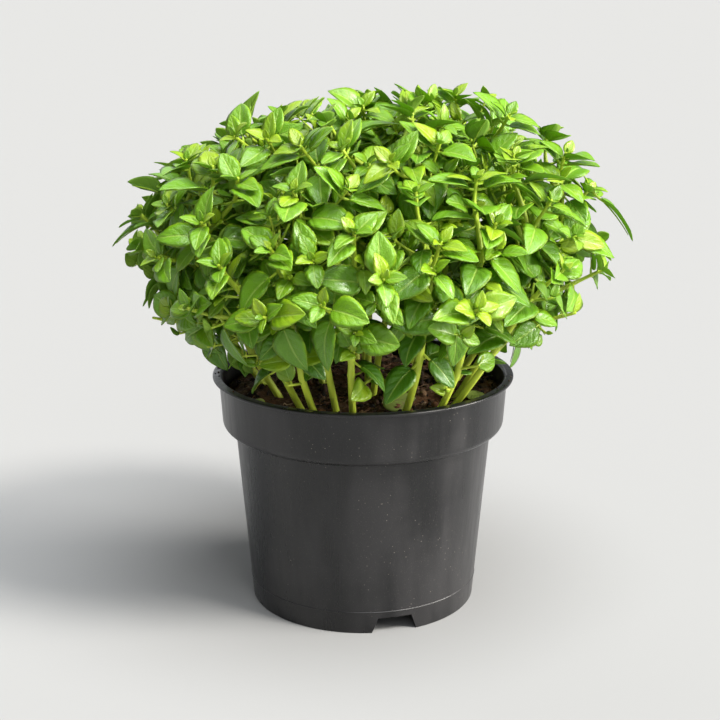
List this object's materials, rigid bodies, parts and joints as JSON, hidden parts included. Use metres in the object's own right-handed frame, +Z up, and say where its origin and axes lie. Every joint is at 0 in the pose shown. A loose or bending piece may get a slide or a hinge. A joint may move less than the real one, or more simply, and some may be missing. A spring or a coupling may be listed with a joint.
{
  "type": "potted basil",
  "caption": "Bushy fine-leaved basil with a rounded crown of small cupped leaves on bare upright stems, growing in a round tapered nursery pot with a wide collar.",
  "frame": {"origin": "on the pot's axis, at the level of the foot ring that the pot stands on", "axes": "+Z up along the pot's axis, -Y towards the front that the picture shows, +X to the right"},
  "size_m": [0.2106, 0.2007, 0.2224],
  "materials": {
    "pot_plastic": "satin",
    "peat": "matte",
    "basil_green": "satin"
  },
  "bodies": {
    "root": {"pot": "pot_plastic", "soil": "peat", "stem_01": "basil_green", "stem_02": "basil_green", "stem_03": "basil_green", "stem_04": "basil_green", "stem_05": "basil_green", "stem_06": "basil_green", "stem_07": "basil_green", "stem_08": "basil_green", "stem_09": "basil_green", "stem_10": "basil_green", "stem_11": "basil_green", "stem_12": "basil_green", "stem_13": "basil_green", "stem_14": "basil_green", "stem_15": "basil_green", "stem_16": "basil_green", "stem_17": "basil_green", "stem_18": "basil_green", "stem_19": "basil_green", "stem_20": "basil_green", "stem_21": "basil_green"}
  },
  "joints": []
}
